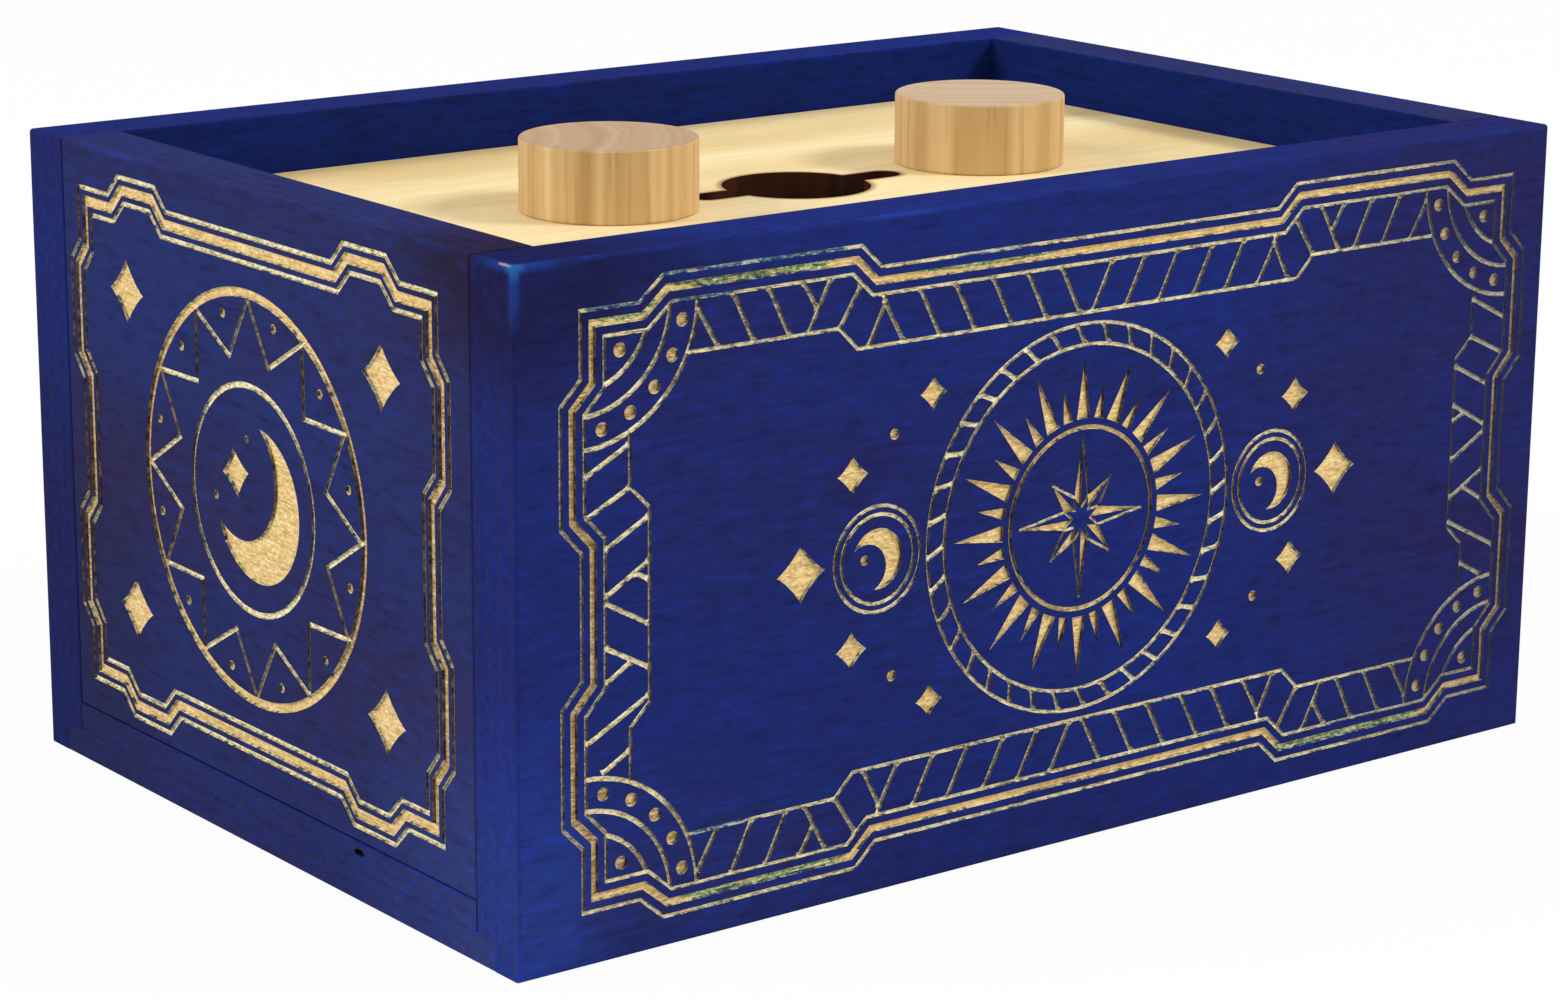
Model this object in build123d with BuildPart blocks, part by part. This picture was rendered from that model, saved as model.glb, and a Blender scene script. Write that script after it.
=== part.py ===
"""Wooden puzzle box with a lift-out top plate that two knobs bolt down.

Millimetres, +Z up, origin at the centre of the underside. X runs along the long walls, the front wall is at -Y.
Under the plate each knob turns a pinion, and the pinion drives a rack bolt under the ledge at its end of the box.
"""

import os
from math import acos, ceil, cos, pi, radians, sin, tan

from build123d import *

# Case
box_length = 238.0
box_depth = 162.0
box_height = 120.0
wall_thickness = 12.7
base_thickness = 5.4
floor_thickness = 5.4
rabbet_depth = 5.6
arris_radius = 0.7

# Ledges that carry the top plate
ledge_height = 8.0
side_ledge_width = 8.0

# Hidden dowels in the corner joints
dowel_diameter = 6.0
dowel_in_wall = 8.5
dowel_in_panel = 19.0
dowel_spacing = 35.0
dowels_per_corner = 3
dowel_fit = 0.05
bore_end_gap = 0.5

# Top plate
rim_height = 11.3
plate_thickness = 5.4
plate_side_gap = 0.5
cutout_diameter = 28.5
slot_length = 49.0
slot_width = 6.7

# Knobs and their spindles
left_knob_offset = 43.4
right_knob_offset = 45.2
knob_diameter = 33.1
knob_height = 13.7
knob_edge_radius = 0.5
knob_socket_depth = 9.0
knob_turn = 45.0
spindle_diameter = 10.0
spindle_square = 7.0
spindle_tail_diameter = 6.6
glue_fit = 0.05
running_fit = 0.08

# Pinion and rack
tooth_module = 1.5
pinion_teeth = 14
pressure_angle = 20.0
tooth_addendum = 1.2
tooth_dedendum = 1.6
tooth_backlash = 0.2
flank_points = 6

# Bolts and their cases
bolt_thickness = 5.4
bolt_width = 8.0
bolt_tip_radius = 1.2
bolt_slide_gap = 0.2
bolt_ledge_gap = 0.4
bolt_end_gap = 0.75
lift_gap = 1.0
guide_width = 6.0
stop_length = 3.5
stop_gap = 0.3
keeper_thickness = 5.4

# Screws and washers
screw_diameter = 3.0
screw_head_diameter = 5.6
screw_bite = 3.0
screw_inset = 6.0
screw_fit = 0.05
recess_width = 0.8
recess_length = 3.0
recess_depth = 0.9
washer_diameter = 16.0
washer_thickness = 1.0
washer_gap = 0.3
end_screw_head_diameter = 6.0
end_screw_head_height = 2.0
end_screw_length = 11.0

# Places that follow from these sizes
half_length = box_length / 2
half_inner_length = half_length - wall_thickness
half_inner_depth = box_depth / 2 - wall_thickness
floor_top = base_thickness + floor_thickness
plate_top = box_height - rim_height
plate_bottom = plate_top - plate_thickness
ledge_bottom = plate_bottom - ledge_height
bolt_top = ledge_bottom - bolt_ledge_gap
bolt_bottom = bolt_top - bolt_thickness
block_bottom = bolt_top + bolt_slide_gap
keeper_top = bolt_bottom - bolt_slide_gap
keeper_bottom = keeper_top - keeper_thickness
tail_end = keeper_bottom - washer_gap

far_knob_offset = max(left_knob_offset, right_knob_offset)
spindle_radius = spindle_diameter / 2
tail_radius = spindle_tail_diameter / 2
screw_radius = screw_diameter / 2
screw_bore_radius = screw_radius + screw_fit
screw_head_height = (screw_head_diameter - screw_diameter) / 2

pitch_radius = tooth_module * pinion_teeth / 2
tooth_pitch = pi * tooth_module
bolt_throw = pitch_radius * radians(knob_turn)
rack_line = pitch_radius + tooth_dedendum

# Along a bolt, measured outwards from its knob's axis. Both cases are alike and fit the knob nearer its ledge
teeth_behind = ceil((bolt_throw + tooth_pitch) / tooth_pitch)
teeth_ahead = 2
tooth_foot = tooth_pitch / 4 + tooth_dedendum * tan(radians(pressure_angle))
bolt_tail = -(teeth_behind - 0.5) * tooth_pitch - tooth_foot
end_ledge_width = bolt_throw + bolt_end_gap - lift_gap
case_front = half_inner_length - end_ledge_width - lift_gap - far_knob_offset
case_back = bolt_tail - stop_gap - stop_length
inner_guide_back = (teeth_ahead - 0.5) * tooth_pitch + tooth_foot + bolt_throw + stop_gap

# Across a bolt, measured from its knob's axis
bolt_outer = rack_line + bolt_width
guide_inner = bolt_outer + bolt_slide_gap
case_half_width = guide_inner + guide_width
case_centre = (case_front + case_back) / 2
case_length = case_front - case_back
rail_line = case_half_width - guide_width / 2
screw_places = [
    (x, y) for x in (case_back + screw_inset, case_front - screw_inset) for y in (-rail_line, rail_line)
]

# One frame for each knob: its x axis points from the knob to the end of the box that its bolt locks
knob_frames = {
    "left": Plane(origin=(-left_knob_offset, 0, 0), x_dir=(-1, 0, 0), z_dir=(0, 0, 1)),
    "right": Plane(origin=(right_knob_offset, 0, 0), x_dir=(1, 0, 0), z_dir=(0, 0, 1)),
}

os.makedirs("parts", exist_ok=True)


def save(piece, name):
    """Label a finished piece and write it."""
    piece.part.label = name
    export_step(piece.part, f"parts/{name}.step")


# Long walls: full length, with a rabbet for the base board and blind bores for the dowels
dowel_x = half_length - wall_thickness / 2
dowel_z = (floor_top + box_height) / 2

for name, side in (("front_wall", -1), ("back_wall", 1)):
    with BuildPart() as long_wall:
        with BuildSketch(Plane.YZ):
            with Locations((side * (half_inner_depth + wall_thickness / 2), box_height / 2)):
                Rectangle(wall_thickness, box_height)
            with Locations((side * half_inner_depth, 0)):
                Rectangle(2 * rabbet_depth, 2 * base_thickness, mode=Mode.SUBTRACT)
        extrude(amount=half_length, both=True)
        outer_face = long_wall.faces().filter_by(Axis.Y).sort_by(Axis.Y)[0 if side < 0 else -1]
        rim_face = long_wall.faces().sort_by(Axis.Z)[-1]
        inner_ends = long_wall.edges().filter_by(Axis.Z).group_by(Axis.Y)[-1 if side < 0 else 0]
        fillet(outer_face.edges() + rim_face.edges() + inner_ends, arris_radius)
        with BuildSketch(Plane.XZ.offset(-side * half_inner_depth)):
            for end in (-1, 1):
                with Locations((end * dowel_x, dowel_z)):
                    with GridLocations(0, dowel_spacing, 1, dowels_per_corner):
                        Circle(dowel_diameter / 2 + dowel_fit)
        extrude(amount=-side * (dowel_in_wall + bore_end_gap), mode=Mode.SUBTRACT)
    save(long_wall, name)

# End panels: between the long walls, standing on the floor board
for name, end in (("left_end_panel", -1), ("right_end_panel", 1)):
    with BuildPart() as end_panel:
        with BuildSketch(Plane.XY.offset(floor_top)):
            with Locations((end * dowel_x, 0)):
                Rectangle(wall_thickness, 2 * half_inner_depth)
        extrude(amount=box_height - floor_top)
        outer_face = end_panel.faces().filter_by(Axis.X).sort_by(Axis.X)[0 if end < 0 else -1]
        rim_edges = end_panel.edges().filter_by(Axis.Y).group_by(Axis.Z)[-1]
        inner_rim_edge = rim_edges.sort_by(Axis.X)[-1 if end < 0 else 0]
        fillet(outer_face.edges() + [inner_rim_edge], arris_radius)
        for side in (-1, 1):
            with BuildSketch(Plane.XZ.offset(-side * half_inner_depth)):
                with Locations((end * dowel_x, dowel_z)):
                    with GridLocations(0, dowel_spacing, 1, dowels_per_corner):
                        Circle(dowel_diameter / 2 + dowel_fit)
            extrude(amount=side * (dowel_in_panel + bore_end_gap), mode=Mode.SUBTRACT)
    save(end_panel, name)

with BuildPart() as corner_dowels:
    for side in (-1, 1):
        with BuildSketch(Plane.XZ.offset(-side * (half_inner_depth + dowel_in_wall))):
            for end in (-1, 1):
                with Locations((end * dowel_x, dowel_z)):
                    with GridLocations(0, dowel_spacing, 1, dowels_per_corner):
                        Circle(dowel_diameter / 2)
        extrude(amount=side * (dowel_in_wall + dowel_in_panel))
save(corner_dowels, "corner_dowels")

# Thin boards below: the base board in the rabbets, the floor board on it between the long walls
with BuildPart() as base_board:
    with BuildSketch(Plane.XY):
        Rectangle(box_length, 2 * (half_inner_depth + rabbet_depth))
    extrude(amount=base_thickness)
save(base_board, "base_board")

with BuildPart() as floor_board:
    with BuildSketch(Plane.XY.offset(base_thickness)):
        Rectangle(box_length, 2 * half_inner_depth)
    extrude(amount=floor_thickness)
save(floor_board, "floor_board")

# Ledges: the long pair runs from end to end, the end pair between them
for name, side in (("front_ledge", -1), ("back_ledge", 1)):
    with BuildPart() as side_ledge:
        with BuildSketch(Plane.XY.offset(ledge_bottom)):
            with Locations((0, side * (half_inner_depth - side_ledge_width / 2))):
                Rectangle(2 * half_inner_length, side_ledge_width)
        extrude(amount=ledge_height)
    save(side_ledge, name)

for name, end in (("left_ledge", -1), ("right_ledge", 1)):
    with BuildPart() as end_ledge:
        with BuildSketch(Plane.XY.offset(ledge_bottom)):
            with Locations((end * (half_inner_length - end_ledge_width / 2), 0)):
                Rectangle(end_ledge_width, 2 * (half_inner_depth - side_ledge_width))
        extrude(amount=ledge_height)
    save(end_ledge, name)

# Top plate: a round cut-out with a slot through it, and a bore for each spindle
with BuildPart() as top_plate:
    with BuildSketch(Plane.XY.offset(plate_bottom)):
        Rectangle(2 * (half_inner_length - plate_side_gap), 2 * (half_inner_depth - plate_side_gap))
        Circle(cutout_diameter / 2, mode=Mode.SUBTRACT)
        SlotOverall(slot_length, slot_width, mode=Mode.SUBTRACT)
        with Locations((-left_knob_offset, 0), (right_knob_offset, 0)):
            Circle(spindle_radius + running_fit, mode=Mode.SUBTRACT)
    extrude(amount=plate_thickness)
    for knob_frame in knob_frames.values():
        with BuildSketch(knob_frame.offset(plate_bottom)):
            with Locations(*screw_places):
                Circle(screw_bore_radius)
        extrude(amount=screw_bite + screw_fit, mode=Mode.SUBTRACT)
save(top_plate, "top_plate")

# Pinion tooth, pointing along +X, with involute flanks above the base circle
base_radius = pitch_radius * cos(radians(pressure_angle))
tip_radius = pitch_radius + tooth_addendum
root_radius = pitch_radius - tooth_dedendum
half_tooth_angle = (tooth_pitch - tooth_backlash) / (4 * pitch_radius)


def involute(angle):
    """Angle between an involute's start and its point where the pressure angle is this, in radians."""
    return tan(angle) - angle


def flank_point(radius):
    """Point of a tooth's upper flank at this distance from the pinion's axis."""
    start = half_tooth_angle + involute(radians(pressure_angle))
    turn = start - involute(acos(min(1.0, base_radius / radius)))
    return (radius * cos(turn), radius * sin(turn))


flank_step = (tip_radius - base_radius) / (flank_points - 1)
upper_flank = [flank_point(base_radius + flank_step * i) for i in range(flank_points)]
lower_flank = [(x, -y) for x, y in reversed(upper_flank)]
foot_x = root_radius * cos(half_tooth_angle) - tooth_dedendum / 4

with BuildSketch() as pinion_tooth:
    with BuildLine():
        upper = Spline(*upper_flank)
        lower = Spline(*lower_flank)
        ThreePointArc(upper @ 1, (tip_radius, 0), lower @ 0)
        Polyline(lower @ 1, (foot_x, lower_flank[-1][1]), (foot_x, upper_flank[0][1]), upper @ 0)
    make_face()

# Rack tooth, pointing along +Y from its pitch line
rack_half_tooth = (tooth_pitch - tooth_backlash) / 4
flank_slope = tan(radians(pressure_angle))
rack_foot = rack_half_tooth + tooth_dedendum * flank_slope
rack_tip = rack_half_tooth - tooth_addendum * flank_slope

with BuildSketch() as rack_tooth:
    with BuildLine():
        Polyline(
            (-rack_foot, -tooth_dedendum),
            (rack_foot, -tooth_dedendum),
            (rack_tip, tooth_addendum),
            (-rack_tip, tooth_addendum),
            close=True,
        )
    make_face()


# Outline of a knob's case, shared by its block and keeper
with BuildSketch() as case_outline:
    with Locations((case_centre, 0)):
        Rectangle(case_length, 2 * case_half_width)


def save_strip(name, frame, back, front, low, high):
    """A strip between a case's block and keeper, from back to front along the bolt and low to high across it."""
    bores = [(x, y) for x, y in screw_places if back < x < front and low < y < high]
    with BuildPart() as strip:
        with BuildSketch(frame.offset(keeper_top)):
            with Locations(((back + front) / 2, (low + high) / 2)):
                Rectangle(front - back, high - low)
            if bores:
                with Locations(*bores):
                    Circle(screw_bore_radius, mode=Mode.SUBTRACT)
        extrude(amount=block_bottom - keeper_top)
    save(strip, name)


for side, knob_frame in knob_frames.items():
    # Knob: a plain turned cylinder with a blind socket for its spindle
    with BuildPart() as knob:
        with BuildSketch(knob_frame.offset(plate_top)):
            Circle(knob_diameter / 2)
        extrude(amount=knob_height)
        fillet(knob.edges(), knob_edge_radius)
        with BuildSketch(knob_frame.offset(plate_top)):
            Circle(spindle_radius + glue_fit)
        extrude(amount=knob_socket_depth + glue_fit, mode=Mode.SUBTRACT)
    save(knob, f"{side}_knob")

    # Spindle: round through the plate and block, square in the pinion, round again in the keeper
    with BuildPart() as spindle:
        with BuildSketch(knob_frame.offset(tail_end)):
            Circle(tail_radius)
        extrude(amount=keeper_top - tail_end)
        with BuildSketch(knob_frame.offset(keeper_top)):
            Rectangle(spindle_square, spindle_square)
        extrude(amount=block_bottom - keeper_top)
        with BuildSketch(knob_frame.offset(block_bottom)):
            Circle(spindle_radius)
        extrude(amount=plate_top + knob_socket_depth - block_bottom)
        with BuildSketch(knob_frame.offset(tail_end)):
            Circle(screw_bore_radius)
        extrude(amount=end_screw_length - washer_thickness + bore_end_gap, mode=Mode.SUBTRACT)
    save(spindle, f"{side}_spindle")

    with BuildPart() as pinion:
        with BuildSketch(knob_frame.offset(bolt_bottom)):
            Circle(root_radius)
            with PolarLocations(0, pinion_teeth, start_angle=-90):
                add(pinion_tooth.sketch)
            Rectangle(spindle_square + 2 * glue_fit, spindle_square + 2 * glue_fit, mode=Mode.SUBTRACT)
        extrude(amount=bolt_thickness)
    save(pinion, f"{side}_pinion")

    # Washer and screw under the keeper, which stop the spindle from lifting out
    with BuildPart() as spindle_washer:
        with BuildSketch(knob_frame.offset(tail_end - washer_thickness)):
            Circle(washer_diameter / 2)
            Circle(screw_bore_radius, mode=Mode.SUBTRACT)
        extrude(amount=washer_thickness)
    save(spindle_washer, f"{side}_spindle_washer")

    end_screw_bottom = tail_end - washer_thickness - end_screw_head_height
    with BuildPart() as spindle_screw:
        with BuildSketch(knob_frame.offset(end_screw_bottom)):
            Circle(end_screw_head_diameter / 2)
        extrude(amount=end_screw_head_height)
        fillet(spindle_screw.edges().sort_by(Axis.Z)[0], end_screw_head_height / 2)
        with BuildSketch(knob_frame.offset(end_screw_bottom + end_screw_head_height)):
            Circle(screw_radius)
        extrude(amount=end_screw_length)
        with BuildSketch(knob_frame.offset(end_screw_bottom)):
            Rectangle(recess_length, recess_width)
            Rectangle(recess_width, recess_length)
        extrude(amount=recess_depth, mode=Mode.SUBTRACT)
    save(spindle_screw, f"{side}_spindle_screw")

    # Bolt: a bar drawn back from the ledge, with a rack on the side towards the pinion
    with BuildPart() as bolt:
        with BuildSketch(knob_frame.offset(bolt_bottom)) as bolt_outline:
            with Locations(((bolt_tail + case_front) / 2, -rack_line - bolt_width / 2)):
                Rectangle(case_front - bolt_tail, bolt_width)
            fillet(bolt_outline.vertices().group_by(Axis.X)[-1], bolt_tip_radius)
            for number in range(-teeth_behind, teeth_ahead):
                with Locations(((number + 0.5) * tooth_pitch, -pitch_radius)):
                    add(rack_tooth.sketch)
        extrude(amount=bolt_thickness)
    save(bolt, f"{side}_bolt")

    # Case under the plate: a block that carries the spindle, strips that guide the bolt, a keeper below
    with BuildPart() as bearing_block:
        with BuildSketch(knob_frame.offset(block_bottom)):
            add(case_outline.sketch)
            Circle(spindle_radius + running_fit, mode=Mode.SUBTRACT)
            with Locations(*screw_places):
                Circle(screw_bore_radius, mode=Mode.SUBTRACT)
        extrude(amount=plate_bottom - block_bottom)
    save(bearing_block, f"{side}_bearing_block")

    tooth_guide = -rack_line + bolt_slide_gap
    save_strip(f"{side}_outer_guide", knob_frame, case_back, case_front, -case_half_width, -guide_inner)
    save_strip(f"{side}_far_rail", knob_frame, case_back, case_front, guide_inner, case_half_width)
    save_strip(
        f"{side}_inner_guide", knob_frame, inner_guide_back, case_front, tooth_guide, tooth_guide + guide_width
    )
    save_strip(f"{side}_bolt_stop", knob_frame, case_back, case_back + stop_length, -guide_inner, -rack_line)

    with BuildPart() as keeper:
        with BuildSketch(knob_frame.offset(keeper_bottom)):
            add(case_outline.sketch)
            Circle(tail_radius + running_fit, mode=Mode.SUBTRACT)
            with Locations(*screw_places):
                Circle(screw_bore_radius, mode=Mode.SUBTRACT)
        extrude(amount=keeper_thickness)
        with BuildSketch(knob_frame.offset(keeper_bottom)):
            with Locations(*screw_places):
                Circle(screw_head_diameter / 2 + screw_fit)
        extrude(amount=screw_head_height, taper=45, mode=Mode.SUBTRACT)
    save(keeper, f"{side}_keeper")

# Countersunk screws up through both cases into the plate
with BuildPart() as keeper_screws:
    for knob_frame in knob_frames.values():
        with BuildSketch(knob_frame.offset(keeper_bottom)):
            with Locations(*screw_places):
                Circle(screw_head_diameter / 2)
        extrude(amount=screw_head_height, taper=45)
        with BuildSketch(knob_frame.offset(keeper_bottom)):
            with Locations(*screw_places):
                Circle(screw_radius)
        extrude(amount=plate_bottom + screw_bite - keeper_bottom)
        with BuildSketch(knob_frame.offset(keeper_bottom)):
            with Locations(*screw_places):
                Rectangle(recess_length, recess_width)
                Rectangle(recess_width, recess_length)
        extrude(amount=recess_depth, mode=Mode.SUBTRACT)
save(keeper_screws, "keeper_screws")
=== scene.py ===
"""Finish of a wooden puzzle box: stained and engraved case, pale top plate, turned knobs and works below.

Metres, +Z up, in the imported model's frame: the origin is under the middle of the box, front at -Y.
"""

from math import acos, ceil, copysign, cos, degrees, pi, radians, sin

import bmesh
import bpy
from mathutils import Matrix, Vector
from mathutils.geometry import delaunay_2d_cdt


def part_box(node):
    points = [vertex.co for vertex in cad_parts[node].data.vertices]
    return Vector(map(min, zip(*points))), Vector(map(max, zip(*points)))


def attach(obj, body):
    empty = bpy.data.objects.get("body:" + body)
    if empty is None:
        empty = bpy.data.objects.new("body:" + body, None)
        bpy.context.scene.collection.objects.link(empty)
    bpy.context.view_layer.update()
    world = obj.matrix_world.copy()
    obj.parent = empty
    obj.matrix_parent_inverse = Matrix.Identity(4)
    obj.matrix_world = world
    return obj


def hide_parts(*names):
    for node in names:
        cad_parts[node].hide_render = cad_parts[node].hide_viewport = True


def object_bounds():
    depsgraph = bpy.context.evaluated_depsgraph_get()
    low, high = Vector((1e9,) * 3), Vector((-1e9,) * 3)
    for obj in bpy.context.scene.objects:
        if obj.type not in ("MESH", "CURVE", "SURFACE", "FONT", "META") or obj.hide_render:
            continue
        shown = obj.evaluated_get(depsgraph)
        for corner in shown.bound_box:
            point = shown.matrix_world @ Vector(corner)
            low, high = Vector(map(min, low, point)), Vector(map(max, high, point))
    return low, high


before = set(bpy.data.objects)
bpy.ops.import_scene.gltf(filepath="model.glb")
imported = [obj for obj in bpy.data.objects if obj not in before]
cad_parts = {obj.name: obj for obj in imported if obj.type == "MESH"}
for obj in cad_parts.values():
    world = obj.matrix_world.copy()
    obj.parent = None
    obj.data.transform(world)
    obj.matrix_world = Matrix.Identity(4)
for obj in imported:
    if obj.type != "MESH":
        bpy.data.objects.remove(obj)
cad_low, cad_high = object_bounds()

mm = 0.001
half_length = cad_high.x
half_depth = cad_high.y
wall_low, wall_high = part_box("front_wall")
box_top = wall_high.z
near_corner = Vector((-half_length, -half_depth, box_top))
wall_ply = (wall_high.y - wall_low.y) / 8
thin_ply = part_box("base_board")[1].z / 4


# Node trees

class Tree:
    """A node tree under construction. Its methods add nodes and give back their output sockets."""

    def __init__(self, tree):
        self.tree = tree

    def node(self, kind, inputs=None, **settings):
        """A new node with these settings, and its inputs fed by sockets or plain values."""
        made = self.tree.nodes.new(kind)
        for key, value in settings.items():
            setattr(made, key, value)
        for key, value in (inputs or {}).items():
            self.feed(made.inputs[key], value)
        return made

    def feed(self, socket, value):
        if isinstance(value, bpy.types.NodeSocket):
            self.tree.links.new(value, socket)
        else:
            socket.default_value = value

    def math(self, operation, *values):
        return self.node("ShaderNodeMath", dict(enumerate(values)), operation=operation).outputs[0]

    def vector(self, x, y, z):
        return self.node("ShaderNodeCombineXYZ", {0: x, 1: y, 2: z}).outputs[0]


class Look(Tree):
    """A material under construction, patterned by the place on the object."""

    def __init__(self, name, specular, metallic=0.0):
        self.material = bpy.data.materials.new(name)
        self.material.use_nodes = True
        super().__init__(self.material.node_tree)
        self.surface = self.tree.nodes["Principled BSDF"]
        self.place = self.node("ShaderNodeTexCoord").outputs["Object"]
        self.feed(self.surface.inputs["Specular IOR Level"], specular)
        self.feed(self.surface.inputs["Metallic"], metallic)

    def plus(self, first, second, share):
        """The first value and a share of the second."""
        return self.math("ADD", first, self.math("MULTIPLY", second, share))

    def axes(self, vector=None):
        return tuple(self.node("ShaderNodeSeparateXYZ", {0: vector or self.place}).outputs)

    def normal(self):
        return self.axes(self.node("ShaderNodeNewGeometry").outputs["Normal"])

    def length(self, vector):
        return self.node("ShaderNodeVectorMath", {0: vector}, operation="LENGTH").outputs["Value"]

    def scaled(self, scale, origin=(0, 0, 0), vector=None):
        """The place measured from an origin and multiplied by a scale for each axis."""
        offset = tuple(-o * s for o, s in zip(origin, scale))
        inputs = {"Vector": vector or self.place, "Location": offset, "Scale": scale}
        return self.node("ShaderNodeMapping", inputs).outputs[0]

    def noise(self, scale, detail=3.0, roughness=0.55, distortion=0.0, vector=None):
        """Noise whose features are about 1 / scale metres long on each axis."""
        inputs = {"Vector": self.scaled(scale, vector=vector), "Scale": 1.0, "Detail": detail}
        inputs |= {"Roughness": roughness, "Distortion": distortion}
        return self.node("ShaderNodeTexNoise", inputs).outputs["Fac"]

    def between(self, value, low, high, start=0.0, end=1.0):
        """Smooth step of a value from low to high, as a number from start to end."""
        inputs = {"Value": value, "From Min": low, "From Max": high, "To Min": start, "To Max": end}
        return self.node("ShaderNodeMapRange", inputs, interpolation_type="SMOOTHSTEP").outputs[0]

    def mix(self, factor, first, second, blend_type="MIX"):
        inputs = {0: factor, 6: first, 7: second}
        return self.node("ShaderNodeMix", inputs, data_type="RGBA", blend_type=blend_type).outputs[2]

    def tinted(self, colour, tint):
        return self.mix(1.0, colour, (*tint, 1.0), "MULTIPLY")

    def touched(self, colour, *touches):
        """The colour under touches (value, low, high, most, shade), each up to most at the value high."""
        for value, low, high, most, shade in touches:
            colour = self.mix(self.between(value, low, high, 0, most), colour, shade)
        return colour

    def ramp(self, factor, *stops):
        """Colour that passes through (place, red, green, blue) stops."""
        made = self.node("ShaderNodeValToRGB", {0: factor})
        elements = made.color_ramp.elements
        while len(elements) < len(stops):
            elements.new(1.0)
        for element, (place, *colour) in zip(elements, stops):
            element.position = place
            element.color = rgb(*colour)
        return made.outputs[0]

    def spot(self, place, reach):
        """1 in the middle of an ellipsoid with this reach along each axis, and 0 outside it."""
        away = self.length(self.scaled([1 / r for r in reach], origin=place))
        return self.math("SUBTRACT", 1, self.math("MINIMUM", away, 1))

    def finish(self, colour, grain, smooth, rough, height, relief):
        """The material: its roughness runs from smooth to rough with the grain. Relief is in metres."""
        roughness = smooth if rough == smooth else self.between(grain, 0.3, 0.7, smooth, rough)
        bumps = self.node("ShaderNodeBump", {"Height": height, "Distance": relief}).outputs[0]
        for name, value in (("Base Color", colour), ("Roughness", roughness), ("Normal", bumps)):
            self.feed(self.surface.inputs[name], value)
        return self.material


class ArrayTree(Tree):
    """Geometry Nodes that set out copies of a motif, with inputs for the sizes named."""

    def __init__(self, name, sizes):
        super().__init__(bpy.data.node_groups.new(name, "GeometryNodeTree"))
        new_socket = self.tree.interface.new_socket
        kinds = {"Motif": "Geometry", "Count": "Int", **sizes, "Material": "Material"}
        for socket, kind in kinds.items():
            new_socket(socket, in_out="INPUT", socket_type=f"NodeSocket{kind}")
        new_socket("Motifs", in_out="OUTPUT", socket_type="NodeSocketGeometry")
        self.given = self.node("NodeGroupInput").outputs
        self.index = self.node("GeometryNodeInputIndex").outputs[0]

    def finish(self, place, **turned):
        """The tree, with a copy at each place as real geometry instead of instances."""
        points = self.node("GeometryNodePoints", {"Count": self.given["Count"], "Position": place})
        inputs = {"Points": points.outputs[0], "Instance": self.given["Motif"], **turned}
        copies = self.node("GeometryNodeInstanceOnPoints", inputs)
        real = self.node("GeometryNodeRealizeInstances", {0: copies.outputs[0]})
        inputs = {"Geometry": real.outputs[0], "Material": self.given["Material"]}
        painted = self.node("GeometryNodeSetMaterial", inputs)
        self.node("NodeGroupOutput", {0: painted.outputs[0]})
        return self.tree


# Materials

def rgb(red, green, blue):
    """Linear colour of a screen colour given from 0 to 255."""
    parts = (part / 255 for part in (red, green, blue))
    return tuple(p / 12.92 if p <= 0.04045 else ((p + 0.055) / 1.055) ** 2.4 for p in parts) + (1.0,)


def in_metres(sizes):
    return [size * mm for size in sizes]


def along(axis, lengthwise, across):
    """Scale for each axis of a pattern that is drawn out along one of them."""
    return tuple(lengthwise if name == axis else across for name in "xyz")


# What the stain's colour is multiplied by, for each kind of board, for the painted light on upward faces,
# and for the painted shade on faces towards the inside
cool_tone = (1.03, 0.98, 0.98)
violet_tone = (1.72, 1.2, 0.76)
thin_board_tone = (1.5, 1.2, 0.88)
painted_top_light = (1.0, 1.18, 1.3)
painted_inner_shade = (0.56, 0.76, 0.88)

# Broad patches on the case: middle and reach in millimetres, and what the colour is multiplied by there
tint_patches = (
    ((-119, 88, 34), (40, 66, 70), (1.0, 0.86, 0.72)),
    ((-119, -84, 8), (24, 66, 50), (1.2, 1.4, 1.45)),
    ((-119, -81, 124), (46, 46, 34), (0.9, 0.62, 0.48)),
    ((124, -81, 60), (110, 40, 100), (1.32, 0.88, 0.72)),
    ((-100, -81, 0), (70, 30, 40), (1.15, 1.2, 1.1)),
)


def mottled_stain(look, grain, streak, pore):
    """Colour of the stain on face grain: blotches, mottles, streaks and pores."""
    blotch = look.noise(along(grain, 9, 30), detail=4)
    mottle = look.noise(along(grain, 190, 620), detail=4, roughness=0.65)
    return look.touched(
        look.ramp(blotch, (0.3, 36, 40, 94), (0.5, 32, 43, 105), (0.7, 30, 45, 116)),
        (mottle, 0.5, 0.7, 0.55, rgb(31, 50, 134)),
        (mottle, 0.48, 0.32, 0.5, rgb(26, 33, 78)),
        (streak, 0.56, 0.74, 0.4, rgb(36, 50, 138)),
        (streak, 0.44, 0.28, 0.4, rgb(25, 28, 74)),
        (pore, 0.34, 0.24, 0.4, rgb(20, 22, 62)),
    )


def with_cross_plies(look, colour, stack, outward, outer, ply):
    """Cross plies show end grain at the board's edges, which takes the stain unevenly."""
    places = dict(zip("xyz", look.axes()))
    waver = look.math("MULTIPLY", look.noise((30, 30, 30), detail=1), 0.5)
    depth = look.math("MULTIPLY", look.math("SUBTRACT", outer, places[stack]), outward)
    count = look.math("ADD", look.math("DIVIDE", depth, ply), waver)
    wave = look.math("COSINE", look.math("MULTIPLY", look.math("SUBTRACT", count, 0.2), pi))
    speck = look.noise((700, 700, 700), detail=2)
    end_grain = look.ramp(speck, (0.3, 38, 38, 76), (0.55, 42, 44, 92), (0.8, 42, 56, 124))
    return look.touched(colour, (wave, 0.5, -0.6, 0.5, end_grain))


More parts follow.
